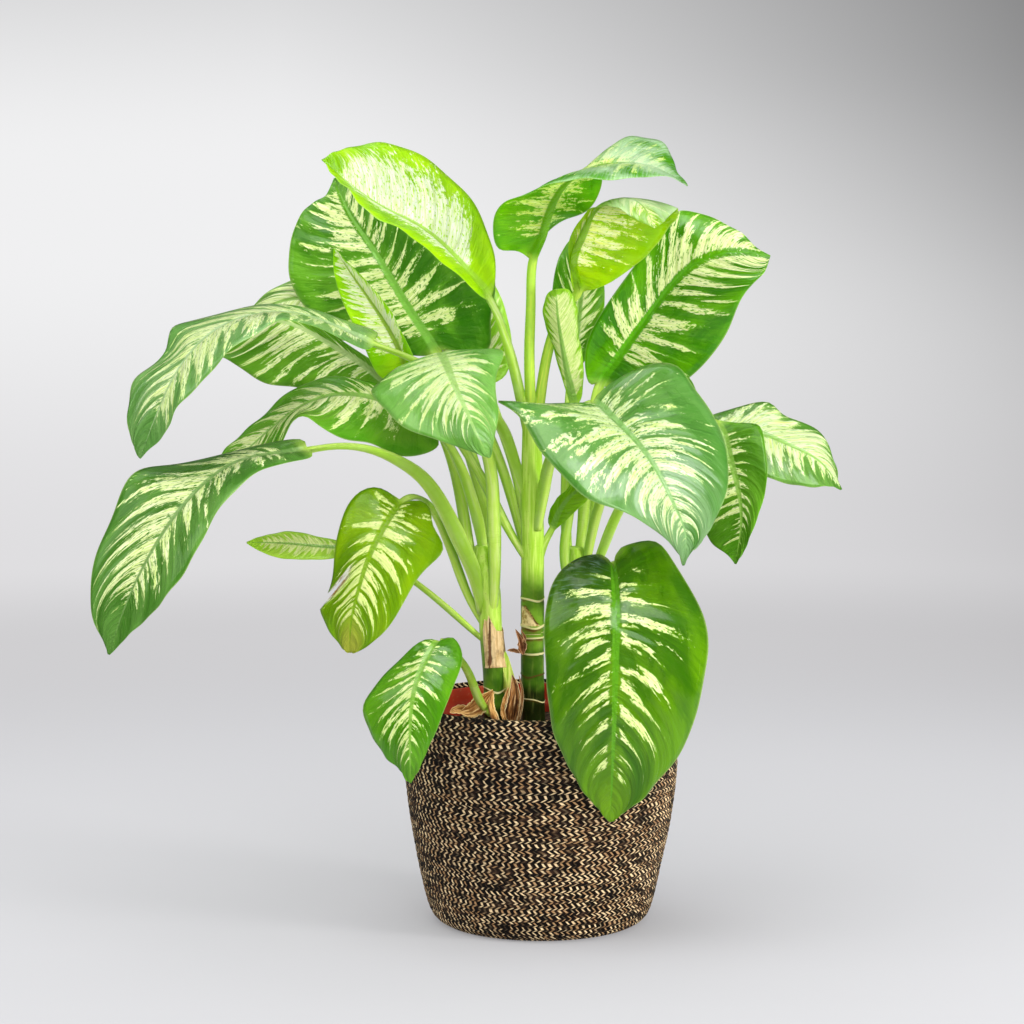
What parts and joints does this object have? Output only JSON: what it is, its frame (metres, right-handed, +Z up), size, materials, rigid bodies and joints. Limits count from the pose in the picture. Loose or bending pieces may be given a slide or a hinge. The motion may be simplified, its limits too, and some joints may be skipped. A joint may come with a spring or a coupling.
{
  "type": "potted dieffenbachia",
  "caption": "Variegated dieffenbachia with cream and green leaves on upright canes, in a plastic nursery pot set inside a round braided rope basket.",
  "frame": {"origin": "centre of the basket's flat underside", "axes": "+Z up along the plant; -Y towards the viewer of the picture; +X to the viewer's right"},
  "size_m": [0.6304, 0.3517, 0.6852],
  "materials": {
    "braided_rope": "matt braid of natural and black plant fibre",
    "pot_plastic": "red-brown moulded plastic, satin",
    "soil": "dark crumbly potting soil",
    "cane": "smooth fleshy green stem with pale leaf scars, satin",
    "dry_sheath": "dry papery leaf base, tan to brown, matt",
    "leaf": "green leaf with cream streaks along the side veins, satin"
  },
  "bodies": {
    "root": {"basket": "braided_rope", "nursery_pot": "pot_plastic", "soil": "soil", "cane_left": "cane", "cane_centre": "cane", "cane_right": "cane", "side_sheath": "cane", "dry_sheath": "dry_sheath", "dry_scale_front": "dry_sheath", "dry_scale_left": "dry_sheath", "leaf_01": "leaf", "leaf_02": "leaf", "leaf_03": "leaf", "leaf_04": "leaf", "leaf_05": "leaf", "leaf_06": "leaf", "leaf_07": "leaf", "leaf_08": "leaf", "leaf_09": "leaf", "leaf_10": "leaf", "leaf_11": "leaf", "leaf_12": "leaf", "leaf_13": "leaf", "leaf_14": "leaf", "leaf_15": "leaf", "leaf_16": "leaf", "leaf_17": "leaf", "leaf_18": "leaf", "leaf_19": "leaf", "leaf_20": "leaf", "leaf_21": "leaf", "leaf_22": "leaf", "leaf_23": "leaf", "leaf_24": "leaf"}
  },
  "joints": []
}
